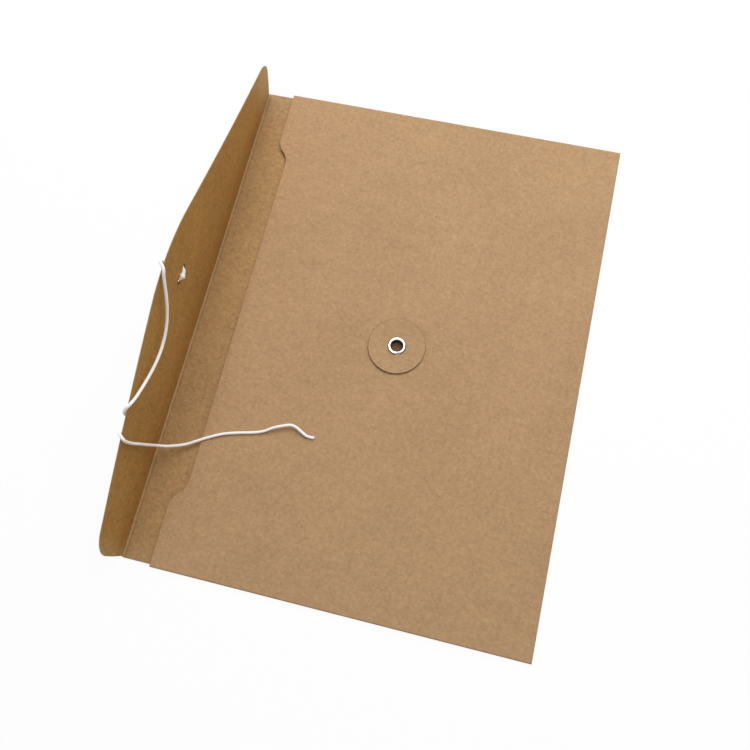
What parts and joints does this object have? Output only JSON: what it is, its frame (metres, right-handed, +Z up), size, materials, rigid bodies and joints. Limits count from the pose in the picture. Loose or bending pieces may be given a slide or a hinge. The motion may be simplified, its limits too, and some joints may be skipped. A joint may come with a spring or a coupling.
{
  "type": "string tie envelope",
  "caption": "Flat kraft board document envelope with a pointed closing flap, a turning board button on an eyelet and a cotton string that winds round it to hold it shut.",
  "frame": {"origin": "middle of the closed envelope's flat underside, on the table", "axes": "+Z up from the table, +X from the mouth and its flap towards the closed edge, +Y along the long side"},
  "size_m": [0.2409, 0.32, 0.0904],
  "materials": {
    "kraft_board": "matte fibrous",
    "button_board": "matte fibrous",
    "eyelet_metal": "bright plated",
    "cotton_string": "twisted cotton",
    "dried_glue": "dried film"
  },
  "bodies": {
    "envelope": {"front_panel": "kraft_board", "back_panel": "kraft_board", "flap_crease": "kraft_board", "closed_edge_fold": "kraft_board", "far_side_fold": "kraft_board", "near_side_fold": "kraft_board", "far_side_flap": "kraft_board", "near_side_flap": "kraft_board", "far_glue_seam": "dried_glue", "near_glue_seam": "dried_glue", "button_eyelet": "eyelet_metal", "string_tail": "cotton_string"},
    "flap": {"closing_flap": "kraft_board", "string_stitch": "cotton_string", "string_knot": "cotton_string", "string_lead": "cotton_string"},
    "button": {"button_disc": "button_board"}
  },
  "joints": [
    {"name": "flap_fold", "type": "hinge", "parent": "envelope", "child": "flap", "pos_m": [-0.1191, 0, 0.00065], "axis": [0, 1, 0], "range_deg": [-88, 78], "deforming": ["string_tail"]},
    {"name": "button_turn", "type": "hinge", "parent": "envelope", "child": "button", "pos_m": [0.00745, 0, 0.0029], "axis": [0, 0, 1], "continuous": true}
  ]
}
